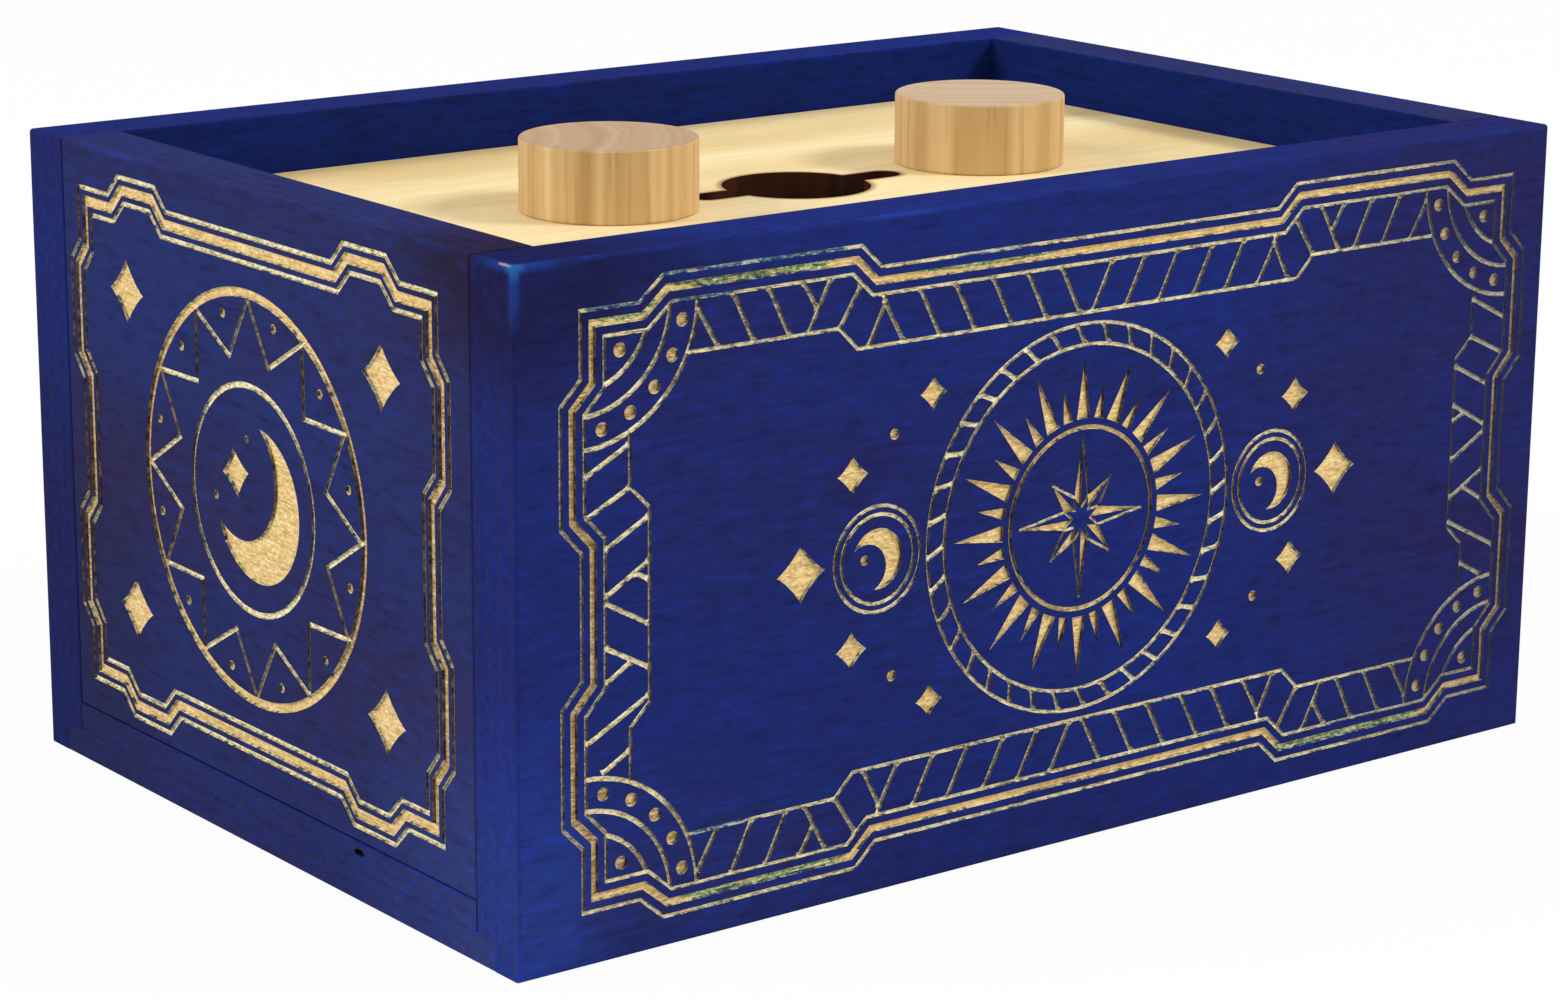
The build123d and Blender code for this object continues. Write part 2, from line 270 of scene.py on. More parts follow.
def patch_tinted(look, colour):
    """The colour made darker, browner or bluer in a few broad patches over the case."""
    for place, reach, tint in tint_patches:
        near = look.between(look.spot(in_metres(place), in_metres(reach)), 0.0, 0.6)
        colour = look.mix(near, colour, look.tinted(colour, tint))
    return colour


def toned_lit_and_shaded(look, colour, stack, outward, tone):
    """The board's tone, with painted light that makes upward faces lighter and bluer, and painted shade
    that darkens the faces towards the inside.
    """
    facings = dict(zip("xyz", look.normal()))
    outside = look.tinted(colour, tone)
    # Painted light: upward faces turn lighter and bluer
    upward = look.between(facings["z"], 0.5, 0.9)
    outside = look.mix(upward, outside, look.tinted(outside, painted_top_light))
    # Painted shade: faces towards the inside of the case turn darker
    inward = look.between(look.math("MULTIPLY", facings[stack], -outward), 0.3, 0.8)
    return look.mix(inward, outside, look.tinted(colour, painted_inner_shade))


def distance_from_arris(look):
    """Distance to the case's nearest long edge: the middle of the distances to three faces."""
    x, y, z = look.axes()
    side = look.math("SUBTRACT", half_length, look.math("ABSOLUTE", x))
    front = look.math("SUBTRACT", half_depth, look.math("ABSOLUTE", y))
    top = look.math("SUBTRACT", box_top, z)
    near = look.math("MINIMUM", side, front)
    far = look.math("MAXIMUM", side, front)
    return look.math("MAXIMUM", near, look.math("MINIMUM", far, top))


def rubbed_and_highlit(look, colour):
    """Stain rubbed thin, with a painted highlight, along the arrises and at the near top corner, where a
    chip shows bare ply.
    """
    from_arris = distance_from_arris(look)
    # Lighter blue along the arrises: rubbed stain and painted highlight
    edge = look.between(from_arris, 1.1 * mm, 0.2 * mm)
    rub = look.between(look.noise((45, 45, 45), detail=4), 0.48, 0.72, 0, 0.7)
    colour = look.mix(look.math("MULTIPLY", edge, rub), colour, rgb(42, 66, 160))
    # Cyan at the near top corner: rubbed stain and painted highlight
    soft_edge = look.between(from_arris, 1.9 * mm, 0.1 * mm)
    for reach, shade in ((14, rgb(34, 66, 150)), (3.4, rgb(46, 108, 172))):
        near = look.plus(look.spot(near_corner, [reach * mm] * 3), look.noise((500, 500, 500)), 0.3)
        near = look.math("MULTIPLY", look.between(near, 0.2, 0.9, 0, 0.7), soft_edge)
        colour = look.mix(near, colour, shade)
    chip = look.spot(near_corner + Vector((0.2, 2.6, -0.1)) * mm, (0.6 * mm, 2.2 * mm, 0.5 * mm))
    ragged = look.between(look.noise((1200, 700, 1200)), 0.3, 0.7, -0.25, 0.1)
    return look.touched(colour, (look.math("ADD", chip, ragged), 0.1, 0.45, 0.8, rgb(178, 150, 148)))


def stained_plywood(name, grain, stack, outward, outer, ply, tone):
    """Blue stained plywood with its grain along one axis and its plies stacked along another.

    The board's outer face lies at outer on the stack axis and looks the way of outward.
    """
    look = Look(name, specular=0.0)
    streak = look.noise(along(grain, 60, 900), detail=3, roughness=0.6, distortion=0.2)
    pore = look.noise(along(grain, 420, 4200), detail=1)
    colour = mottled_stain(look, grain, streak, pore)
    colour = with_cross_plies(look, colour, stack, outward, outer, ply)
    colour = toned_lit_and_shaded(look, patch_tinted(look, colour), stack, outward, tone)
    colour = rubbed_and_highlit(look, colour)
    return look.finish(colour, streak, 0.62, 0.48, look.plus(streak, pore, 0.6), 0.05 * mm)


# Worn stretches of gold on the front wall: x and z of the middle, and reach along both, in millimetres
worn_stretches = (
    (-71, 114.7, 25, 3.7),
    (-98, 111.4, 9, 3.8),
    (-68, 8, 23, 1.9),
    (71, 8, 26, 2.6),
    (-20, 110, 24, 1.6),
    (-82, 110.9, 9, 0.9),
    (-78, 19.5, 9, 1.2),
)


def worn_through(look):
    """Where the gold is rubbed thin, from 0 to 1: ragged stretches of the front wall's lines."""
    inwards = 9 * mm
    worn = 0.0
    for x, z, reach, rise in worn_stretches:
        spot = look.spot((x * mm, -half_depth, z * mm), (reach * mm, inwards, rise * mm))
        worn = look.math("MAXIMUM", worn, spot)
    smear = look.noise((150, 150, 420), detail=4, roughness=0.7)
    return look.between(look.math("ADD", look.between(worn, 0.02, 0.3), smear), 1.2, 1.5, 0, 0.95)


def dulled(look, colour, most):
    """The colour, with this much of it lost towards the front wall's right end."""
    dull = look.spot(Vector((120, -81, 56)) * mm, in_metres((62, 12, 150)))
    return look.touched(colour, (dull, 0.0, 0.6, most, rgb(62, 70, 92)))


# Each gold: how dull its right end is, four tones from dark to light, and four more where it is worn
golds = {
    "gold_broad": (
        0.2,
        ((186, 148, 90), (216, 180, 114), (232, 200, 134), (248, 226, 170)),
        ((22, 52, 66), (72, 112, 76), (168, 178, 108), (240, 238, 184)),
    ),
    # Tan: the dots' own colour, and painted shade on steep bold lines
    "gold_tan": (
        0.35,
        ((128, 98, 60), (174, 142, 90), (204, 172, 116), (232, 210, 160)),
        ((40, 58, 76), (96, 110, 84), (170, 160, 110), (226, 214, 164)),
    ),
    # Painted highlight: level fine lines paler than the gold
    "gold_level_lines": (
        0.5,
        ((112, 110, 92), (206, 192, 144), (242, 232, 188), (253, 249, 222)),
        ((24, 44, 110), (34, 84, 122), (96, 146, 144), (228, 230, 190)),
    ),
    # Painted shade: steep fine lines darker than the gold
    "gold_steep_lines": (
        0.8,
        ((78, 76, 72), (132, 126, 106), (176, 168, 134), (218, 210, 174)),
        ((34, 40, 82), (58, 78, 86), (104, 104, 82), (160, 152, 110)),
    ),
}


def gold_paint(name, dullness, tones, worn_tones):
    """Mottled gold paint on a laser-cut floor with fine level lines."""
    look = Look(name, metallic=0.12, specular=0.25)
    raster = look.noise((170, 170, 3600), detail=2, roughness=0.7)
    grit = look.noise((900, 900, 1900), detail=3, roughness=0.7)
    mottle = look.plus(look.math("MULTIPLY", raster, 0.4), grit, 0.6)
    stops = (0.38, 0.46, 0.53, 0.61)
    fresh = look.ramp(mottle, *((stop, *tone) for stop, tone in zip(stops, tones)))
    worn = look.ramp(mottle, *((stop, *tone) for stop, tone in zip(stops, worn_tones)))
    colour = dulled(look, look.mix(worn_through(look), fresh, worn), dullness)
    return look.finish(colour, raster, 0.56, 0.42, mottle, 0.06 * mm)


def groove_flank():
    """Sides of the engraving: gold paint with a painted highlight on the level grooves, and scorched wood
    with painted shade in the upright ones.
    """
    look = Look("groove_flank", specular=0.1)
    smear = look.noise((700, 700, 700), detail=3, roughness=0.65)
    level = look.ramp(smear, (0.36, 52, 66, 92), (0.46, 164, 154, 116), (0.58, 236, 220, 170))
    bare = look.ramp(smear, (0.36, 26, 40, 104), (0.5, 34, 72, 124), (0.62, 190, 204, 182))
    level = look.mix(worn_through(look), level, bare)
    upright = look.ramp(smear, (0.36, 42, 40, 54), (0.5, 84, 70, 56), (0.64, 132, 112, 80))
    _, _, up = look.normal()
    # Level sides pale as painted highlight, upright sides dark as painted shade over the scorch
    colour = look.mix(look.between(look.math("ABSOLUTE", up), 0.3, 0.8), upright, level)
    return look.finish(dulled(look, colour, 0.6), smear, 0.6, 0.6, smear, 0.04 * mm)


def core_void():
    """Painted shade: near-black colour for a dark hollow in a ply's core."""
    look = Look("core_void", specular=0.1)
    speck = look.noise((1500, 1500, 1500), detail=2)
    colour = look.ramp(speck, (0.3, 8, 8, 16), (0.7, 24, 22, 34))
    return look.finish(colour, speck, 0.9, 0.9, speck, 0.2 * mm)


def bare_wood(name, grain, dark, middle, light):
    """Bare timber with its grain along one axis, in three colours."""
    look = Look(name, specular=0.12)
    band = look.noise(along(grain, 6, 150), detail=3, distortion=0.3)
    thread = look.noise(along(grain, 35, 1500), detail=3, roughness=0.65)
    pore = look.noise(along(grain, 180, 4200), detail=1)
    shade = rgb(*dark)
    colour = look.touched(
        look.ramp(band, (0.28, *dark), (0.5, *middle), (0.74, *light)),
        (thread, 0.5, 0.72, 0.45, shade),
        (pore, 0.36, 0.26, 0.4, look.mix(0.5, shade, rgb(70, 44, 24))),
    )
    return look.finish(colour, thread, 0.5, 0.64, look.plus(thread, pore, 0.5), 0.05 * mm)


def cutout_distance(look):
    """Distance outwards from the edge of the plate's cut-out, a circle with a slot through it."""
    radius, slot_radius, slot_reach = 14.25 * mm, 3.35 * mm, 21.15 * mm
    x, y, _ = look.axes()
    from_centre = look.length(look.vector(x, y, 0))
    past_end = look.math("MAXIMUM", look.math("SUBTRACT", look.math("ABSOLUTE", x), slot_reach), 0)
    from_slot = look.length(look.vector(past_end, y, 0))
    from_circle = look.math("SUBTRACT", from_centre, radius)
    return look.math("MINIMUM", from_circle, look.math("SUBTRACT", from_slot, slot_radius))


def scorched(look, colour):
    """Smoke round the plate's cut-out, and char on the sides of the cut."""
    near_cut = cutout_distance(look)
    colour = look.touched(colour, (near_cut, 1.6 * mm, 0.1 * mm, 0.75, rgb(150, 96, 48)))
    _, _, up = look.normal()
    flat = look.between(look.math("ABSOLUTE", up), 0.4, 0.7)
    cut_side = look.math("SUBTRACT", 1, flat)
    char = look.math("MULTIPLY", cut_side, look.between(near_cut, 1.0 * mm, 0.5 * mm))
    soot = look.noise((140, 140, 60), detail=3)
    return look.mix(char, colour, look.ramp(soot, (0.3, 26, 14, 9), (0.7, 76, 40, 22)))


def plate_plywood():
    """Pale face veneer of the top plate, scorched where the laser cut it."""
    look = Look("plate_plywood", specular=0.08)
    band = look.noise((5, 42, 42), detail=4, distortion=0.6)
    thread = look.noise((28, 900, 900), detail=3, roughness=0.6)
    pore = look.noise((150, 3400, 3400), detail=1)
    knot = look.noise((14, 60, 60), detail=2, distortion=0.5)
    colour = look.touched(
        look.ramp(band, (0.3, 229, 201, 142), (0.5, 243, 220, 165), (0.72, 249, 231, 182)),
        (thread, 0.5, 0.75, 0.5, rgb(224, 188, 128)),
        (pore, 0.36, 0.26, 0.35, rgb(196, 150, 96)),
        (knot, 0.64, 0.84, 0.35, rgb(196, 148, 92)),
    )
    colour = scorched(look, colour)
    return look.finish(colour, thread, 0.48, 0.6, look.plus(thread, pore, 0.5), 0.04 * mm)


def turned_hardwood(name, centre, pith, end_tone):
    """Turned blank with growth bands round an upright pith beside it, and end_tone on its end grain."""
    look = Look(name, specular=0.05)
    here = look.scaled((1, 1, 1), origin=centre)
    x, y = (look.math("SUBTRACT", axis, middle) for axis, middle in zip(look.axes(here), pith))
    sway = look.noise((70, 70, 9), detail=2, vector=here)
    growth = look.plus(look.length(look.vector(x, y, 0)), sway, 3.5 * mm)
    band = look.noise((260, 260, 260), detail=2, roughness=0.5, vector=look.vector(growth, 0, 0))
    fibre = look.noise((900, 900, 24), detail=3, roughness=0.6, vector=here)
    fleck = look.noise((1900, 1900, 210), detail=1, vector=here)

    stripes = (0.3, 186, 146, 96), (0.45, 208, 171, 118), (0.58, 224, 190, 138), (0.7, 236, 207, 158)
    side = look.touched(
        look.ramp(band, *stripes),
        (fibre, 0.54, 0.74, 0.5, rgb(178, 134, 82)),
        (fleck, 0.27, 0.2, 0.4, rgb(150, 108, 62)),
    )
    end = look.touched(
        look.ramp(band, (0.3, 188, 158, 130), (0.5, 202, 173, 143), (0.7, 212, 186, 157)),
        (fleck, 0.3, 0.2, 0.3, rgb(172, 140, 110)),
    )
    _, _, up = look.normal()
    colour = look.mix(look.between(up, 0.55, 0.9), side, look.tinted(end, end_tone))
    return look.finish(colour, fibre, 0.5, 0.6, look.plus(fibre, fleck, 0.4), 0.04 * mm)


def turned_metal(name, tint, smooth):
    """Plated or turned metal with fine scratches and a little tarnish."""
    look = Look(name, specular=0.4, metallic=1.0)
    scratch = look.noise((700, 3200, 700), detail=3, roughness=0.7)
    tarnish = look.noise((160, 160, 160), detail=3)
    colour = look.touched(tint, (tarnish, 0.45, 0.75, 0.4, rgb(110, 100, 84)))
    return look.finish(colour, scratch, smooth, smooth + 0.2, scratch, 0.01 * mm)


# Flat outlines to engrave

flank_width = 0.14 * mm
fine_width = 0.66 * mm
stroke_width = 0.86 * mm
bold_width = 1.38 * mm
fine_depth = 0.34 * mm
end_fine_depth = 0.42 * mm
dot_depth = 0.5 * mm
bold_depth = 0.55 * mm


class Pattern:
    """Outlines on a face: a cut's mouth at height 0, and its floor as far below as it is deep."""

    def __init__(self):
        self.faces = []

    def outline(self, points, depth=0.0):
        self.faces.append([Vector((p[0], p[1], -depth)) for p in points])

    def line(self, points, width, depth, closed=False):
        """A cut of this width along the points."""
        flank = min(flank_width, width / 4)
        for quad in ribbon(points, width, closed):
            self.outline(quad)
        floor_points = points if closed else shortened(points, flank)
        for quad in ribbon(floor_points, width - 2 * flank, closed):
            self.outline(quad, depth)

    def shape(self, draw, depth):
        """Adds a filled cut: draw gives its outline, drawn in by a distance."""
        self.outline(draw(0.0))
        self.outline(draw(flank_width), depth)
        return self

    def add(self, other, centre=(0, 0), turn=0.0, flip_x=False, flip_y=False):
        """Copies another pattern in, turned about its origin, mirrored, and moved."""
        spin = Matrix.Rotation(turn, 3, "Z")
        mirror = Matrix.Diagonal((-1 if flip_x else 1, -1 if flip_y else 1, 1))
        for face in other.faces:
            points = [mirror @ (spin @ p) + Vector((centre[0], centre[1], 0)) for p in face]
            if flip_x != flip_y:
                points.reverse()
            self.faces.append(points)

    def mesh(self):
        points, rows = [], []
        for face in self.faces:
            rows.append(list(range(len(points), len(points) + len(face))))
            points += face
        made = bpy.data.meshes.new("motif")
        made.from_pydata(points, [], rows)
        return made


def offset_line(points, distance, closed=True):
    """The points moved to the left of the way that they run, mitred at the corners."""
    points = [Vector(p) for p in points]
    runs = [(b - a).normalized() for a, b in zip(points, points[1:] + points[:1])]
    lefts = [Vector((-run.y, run.x)) for run in runs]
    if not closed:
        lefts[-1] = lefts[-2]
    moved = []
    for i, point in enumerate(points):
        after = lefts[i]
        before = lefts[i - 1] if closed or i > 0 else after
        moved.append(point + (before + after) / (1 + before.dot(after)) * distance)
    return moved


def ribbon(points, width, closed):
    """Quads that cover a line of this width."""
    left = offset_line(points, width / 2, closed)
    right = offset_line(points, -width / 2, closed)
    count = len(points)
    spans = range(count if closed else count - 1)
    return [[right[i], right[(i + 1) % count], left[(i + 1) % count], left[i]] for i in spans]


def shortened(points, amount):
    """An open line with both ends drawn in."""
    points = [Vector(p) for p in points]
    start = points[0] + (points[1] - points[0]).normalized() * amount
    end = points[-1] + (points[-2] - points[-1]).normalized() * amount
    return [start, *points[1:-1], end]


def arc(centre, radius, start, end, chord=1.2 * mm):
    """Points round an arc, with its angles in degrees."""
    steps = max(2, ceil(abs(radians(end - start)) * radius / chord))
    turns = [radians(start + (end - start) * i / steps) for i in range(steps + 1)]
    return [(centre[0] + radius * cos(t), centre[1] + radius * sin(t)) for t in turns]


def ring(radius):
    """Points round a whole circle, without the first one again."""
    return arc((0, 0), radius, 0, 360)[:-1]


def arc_array_tree():
    """Copies of a motif round an arc, each turned to point outwards."""
    tree = ArrayTree("arc_array", {"Radius": "Float", "First angle": "Float", "Angle step": "Float"})
    given = tree.given
    angle = tree.math("MULTIPLY_ADD", tree.index, given["Angle step"], given["First angle"])
    reach = tree.vector(given["Radius"], 0, 0)
    place = tree.node("ShaderNodeVectorRotate", {"Vector": reach, "Angle": angle}, rotation_type="Z_AXIS")
    turn = tree.node("FunctionNodeEulerToRotation", {0: tree.vector(0, 0, angle)})
    return tree.finish(place.outputs[0], Rotation=turn.outputs[0])


def row_array_tree():
    """Copies of a motif along a row, each nudged along it by a seeded amount."""
    tree = ArrayTree("row_array", {"Step": "Vector", "Nudge": "Float", "Seed": "Int"})
    shift = tree.node("FunctionNodeRandomValue", {"Seed": tree.given["Seed"]})
    random_value = next(o for o in shift.outputs if o.type == "VALUE" and o.enabled)
    spread = tree.math("MULTIPLY_ADD", random_value, tree.given["Nudge"], tree.index)
    place = tree.node("ShaderNodeVectorMath", {0: tree.given["Step"], "Scale": spread}, operation="SCALE")
    return tree.finish(place.outputs[0])


def new_object(name, data):
    made = bpy.data.objects.new(name, data)
    bpy.context.scene.collection.objects.link(made)
    return made


def grown(tree, motif, **sizes):
    """The pattern that a tree makes of a motif, with its sizes given by input name."""
    carrier = new_object("motif", motif.mesh())
    modifier = carrier.modifiers.new("array", "NODES")
    modifier.node_group = tree
    for item in tree.interface.items_tree:
        key = item.name.lower().replace(" ", "_")
        if item.in_out == "INPUT" and key in sizes:
            modifier[item.identifier] = sizes[key]
    evaluated = carrier.evaluated_get(bpy.context.evaluated_depsgraph_get())
    mesh = bpy.data.meshes.new_from_object(evaluated)
    made = Pattern()
    made.faces = [[mesh.vertices[i].co.copy() for i in face.vertices] for face in mesh.polygons]
    bpy.data.objects.remove(carrier)
    bpy.data.meshes.remove(mesh)
    return made


# Motifs

def dot(radius):
    """A small round cut."""
    return Pattern().shape(lambda inset: arc((0, 0), radius - inset, 0, 360, radius / 2)[:-1], dot_depth)


def sparkle(reach, hollow=2.4):
    """A four-point star whose sides curve in: the more, the further hollow is above 2."""
    steps = 20
    turns = [2 * pi * i / steps for i in range(steps)]

    def bent(share):
        return copysign(abs(share) ** hollow, share) if abs(share) > 1e-9 else 0.0

    def outline(inset):
        size = reach - 2.5 * inset
        return [(size * bent(cos(t)), size * bent(sin(t))) for t in turns]

    return Pattern().shape(outline, bold_depth)


def ray(inner, outer, half_width):
    """A straight ray of a sunburst, pointing along +X."""
    def outline(inset):
        foot, half = inner + inset, half_width - 1.2 * inset
        return [(foot, -half), (outer - 5 * inset, 0), (foot, half)]

    return Pattern().shape(outline, bold_depth)


def crescent(outer, inner, shift):
    """A plain crescent that opens towards -X: a disc less another disc moved that way."""
    def outline(inset):
        big, small = outer - inset, inner + inset
        meet = (big**2 - small**2 + shift**2) / (2 * shift)
        big_turn = degrees(acos(-meet / big))
        small_turn = degrees(acos((shift - meet) / small))
        front = arc((-shift, 0), small, small_turn, -small_turn)
        return arc((0, 0), big, -big_turn, big_turn) + front[1:-1]

    return Pattern().shape(outline, bold_depth)


def stroke(start, end):
    """A straight line whose ends flare a little into the lines that it joins."""
    run = Vector(end) - Vector(start)
    length = run.length
    flare_run = 0.8 * mm

    def outline(inset):
        half, flare = stroke_width / 2 - inset, stroke_width * 0.95 - inset
        low = [(inset, -flare), (flare_run, -half), (length - flare_run, -half), (length - inset, -flare)]
        return low + [(x, -y) for x, y in reversed(low)]

    made = Pattern()
    made.add(Pattern().shape(outline, fine_depth), centre=start, turn=-Vector((1, 0)).angle_signed(run))
    return made


arc_array = arc_array_tree()
row_array = row_array_tree()


def around(motif, count, radius, first=0.0, step=None):
    """Copies of a motif round a circle, or along an arc with this step in degrees."""
    sizes = {"first_angle": radians(first), "angle_step": radians(step or 360 / count)}
    return grown(arc_array, motif, count=count, radius=radius, **sizes)


def bumped_frame(half_width, half_height, side_bumps, end_bumps, side_rise, end_rise):
    """Outline of a frame whose sides step outwards in two bumps each, counter-clockwise.

    A bump is (start, start of its flat, end of its flat, end), measured from the middle of its side.
    """
    def side(bumps, rise):
        near = [(bumps[0], 0), (bumps[1], rise), (bumps[2], rise), (bumps[3], 0)]
        return [(-a, b) for a, b in reversed(near)] + near

    top = [(-a, half_height + b) for a, b in side(side_bumps, side_rise)]
    left = [(-half_width - b, -a) for a, b in side(end_bumps, end_rise)]
    upper = [(half_width, half_height), *top, (-half_width, half_height), *left]
    return [Vector(p) * mm for p in upper + [(-x, -y) for x, y in upper]]


def triple_line(made, outline, gap, fine, bold, shallow=fine_depth):
    """Three lines one inside another, a gap apart: two fine ones with a bold one between."""
    for number, (width, depth) in enumerate(((fine, shallow), (bold, bold_depth), (fine, shallow))):
        made.line(offset_line(outline, number * gap), width, depth, closed=True)


def corner_fan():
    """Quarter circles about a long wall's top left corner, with dots between the outer two."""
    made = Pattern()
    centre = (-108 * mm, 51.1 * mm)
    for radius, start, end in ((13.75, -70, -21), (17.75, -88, -3.5), (23.3, -88.3, -2.5)):
        made.line(arc(centre, radius * mm, start, end), stroke_width, fine_depth)
    made.add(around(dot(1.22 * mm), 5, 20.6 * mm, first=-78.5, step=16.8), centre)
    made.add(dot(1.25 * mm), (centre[0] + 7.7 * mm, centre[1] - 7.5 * mm))
    return made


def rows_of_strokes(rows, seed):
    """Slanted strokes: foot x, y and top x, y in millimetres, then a longer row's step and count."""
    made = Pattern()
    for number, (foot_x, foot_y, top_x, top_y, *more) in enumerate(rows):
        step, count = more or (0, 1)
        motif = stroke((foot_x * mm, foot_y * mm), (top_x * mm, top_y * mm))
        row_step = (step * mm, 0.0, 0.0)
        made.add(grown(row_array, motif, count=count, step=row_step, nudge=0.05, seed=seed + number))
    return made


def long_wall_border():
    """A triple line, a band of slanted strokes inside it, and a fan in each corner."""
    made = Pattern()
    outline = bumped_frame(108, 50.9, (46.2, 50.6, 91.6, 96.5), (10.8, 15.2, 35.6, 39.7), 4.1, 4)
    triple_line(made, outline, 2.33 * mm, fine_width, bold_width)

    quarter = corner_fan()
    band_top = [(-86.9, 41.4), (-55.3, 41.4), (-51.3, 37.4), (0.5, 37.4)]
    band_side = [(-98.35, 30.1), (-98.35, 20.4), (-94.45, 16.6), (-94.45, -0.5)]
    for path in (band_top, band_side):
        quarter.line([in_metres(p) for p in path], fine_width, fine_depth)
    top_rows = (
        (-80.4, 41.3, -84.7, 48.5), (-73.2, 41.3, -77.6, 50.2, 7.3, 2),
        (-61.9, 41.3, -57.2, 50.2), (-60.0, 45.4, -62.9, 50.2),
        (-55.3, 41.3, -50.7, 48.4), (-49.1, 37.4, -45.4, 44.6),
        (-41.3, 37.4, -45.4, 44.6), (-45.4, 44.4, -45.7, 46.3),
        (-33.5, 37.4, -38.0, 46.2, 8.0, 5),
    )
    quarter.add(rows_of_strokes(top_rows, seed=1))
    for flip_x in (False, True):
        for flip_y in (False, True):
            made.add(quarter, flip_x=flip_x, flip_y=flip_y)

    side_rows = (
        (-107.3, 23.3, -98.4, 27.8), (-107.3, 16.3, -98.4, 20.5),
        (-103.3, 10.7, -94.5, 15.2), (-103.3, 2.7, -94.5, 7.6),
        (-97.5, 5.9, -94.5, 4.4), (-103.3, 1.6, -94.5, -3.2),
        (-103.3, -6.0, -94.5, -10.7), (-103.3, -12.1, -98.2, -9.0),
        (-107.3, -21.9, -94.5, -15.4), (-104.2, -27.4, -98.4, -24.2),
    )
    side = rows_of_strokes(side_rows, seed=31)
    made.add(side)
    made.add(side, flip_x=True)
    return made


def compass_point(tip, waist):
    """A point of a compass rose along +X: one half of it is filled, and the other is outlined."""
    root = 2.0 * mm
    waist_x, waist_y = waist * cos(pi / 8), waist * sin(pi / 8)

    def half(inset):
        y = 0.6 * inset
        return [(root + 2 * inset, y), (tip - 6 * inset, y), (waist_x + inset, waist_y - 0.8 * inset)]

    made = Pattern().shape(half, bold_depth)
    made.line([(tip, 0), (waist_x, -waist_y), (root, 0)], 0.5 * mm, fine_depth)
    return made


def compass_rose(reach):
    """An eight-point star of half-filled points."""
    waist = reach * 0.3
    made = around(compass_point(reach, waist), 4, 0.0)
    made.add(around(compass_point(reach * 0.68, waist), 4, 0.0, first=45))
    return made


def sunburst_wheel():
    """Generic centrepiece: a compass rose inside straight rays and a ticked ring."""
    made = compass_rose(14.5 * mm)
    made.line(ring(16.6 * mm), 0.8 * mm, bold_depth, closed=True)
    made.add(around(ray(18.2 * mm, 29.4 * mm, 1.55 * mm), 16, 0.0))
    made.add(around(ray(18.2 * mm, 24.6 * mm, 1.1 * mm), 16, 0.0, first=11.25))
    inner, outer = 31.6 * mm, 35.4 * mm
    for radius in (inner, outer):
        made.line(ring(radius), fine_width, fine_depth, closed=True)
    lean = radians(3)
    tick = stroke((inner, 0), (outer * cos(lean), outer * sin(lean)))
    made.add(around(tick, 36, 0.0))
    return made


def medallion(radius):
    """A double ring with a plain crescent and a dot."""
    made = Pattern()
    for share in (1.0, 0.84):
        made.line(ring(radius * share), fine_width, fine_depth, closed=True)
    made.add(crescent(radius * 0.58, radius * 0.46, radius * 0.3), turn=radians(30))
    made.add(dot(0.9 * mm), (-radius * 0.3, radius * 0.02))
    return made


def long_wall_pattern():
    """Everything engraved on a long wall."""
    made = long_wall_border()
    made.add(sunburst_wheel())
    for side in (-1, 1):
        made.add(medallion(9.4 * mm), (side * 46.4 * mm, 0))
        made.add(sparkle(5.2 * mm), (side * 63 * mm, 0))
        for rise in (-1, 1):
            made.add(sparkle(3.4 * mm), (side * 52 * mm, rise * 15.5 * mm))
            made.add(dot(1.0 * mm), (side * 43 * mm, rise * 21.5 * mm))
            made.add(sparkle(3.0 * mm), (side * 34.5 * mm, rise * 27.5 * mm))
    return made


def end_panel_border():
    """A triple line with a broad middle, and a sparkle near each corner."""
    made = Pattern()
    outline = bumped_frame(60.45, 47.15, (28, 32, 45.3, 49.3), (11, 15, 33.2, 37.2), 3.9, 3.4)
    triple_line(made, outline, 2.35 * mm, 0.9 * mm, 1.95 * mm, end_fine_depth)
    for x in (-43.2 * mm, 43.2 * mm):
        for y in (-29.7 * mm, 30.2 * mm):
            made.add(sparkle(6.0 * mm), (x, y))
    return made


def moon_wheel():
    """Generic centrepiece: a crescent and star inside rings and a line star."""
    made = Pattern()
    outer, middle, inner = 37 * mm, 33.4 * mm, 20.6 * mm
    made.line(ring(outer), 1.7 * mm, bold_depth, closed=True)
    made.line(ring(inner), 1.1 * mm, fine_depth, closed=True)
    tips = 12
    points = []
    for i in range(2 * tips):
        radius = (outer - 0.9 * mm) if i % 2 == 0 else inner + 5.2 * mm
        turn = pi / tips * i + pi / 2
        points.append((radius * cos(turn), radius * sin(turn)))
    made.line(points, 0.9 * mm, end_fine_depth, closed=True)
    made.add(around(dot(0.9 * mm), tips, middle, first=90 + 180 / tips))
    made.add(crescent(14.2 * mm, 12.0 * mm, 7.4 * mm), (1.6 * mm, -0.6 * mm), turn=radians(-38))
    made.add(sparkle(4.6 * mm), (-5.6 * mm, 4.0 * mm), turn=radians(8))
    for x, y, size in ((-12.6, -1.5, 0.8), (-1.5, 10.8, 0.7), (-9.5, -9.0, 0.65)):
        made.add(dot(size * mm), (x * mm, y * mm))
    return made


def end_panel_pattern():
    """Everything engraved on an end panel."""
    made = end_panel_border()
    made.add(moon_wheel())
    return made


# Boards

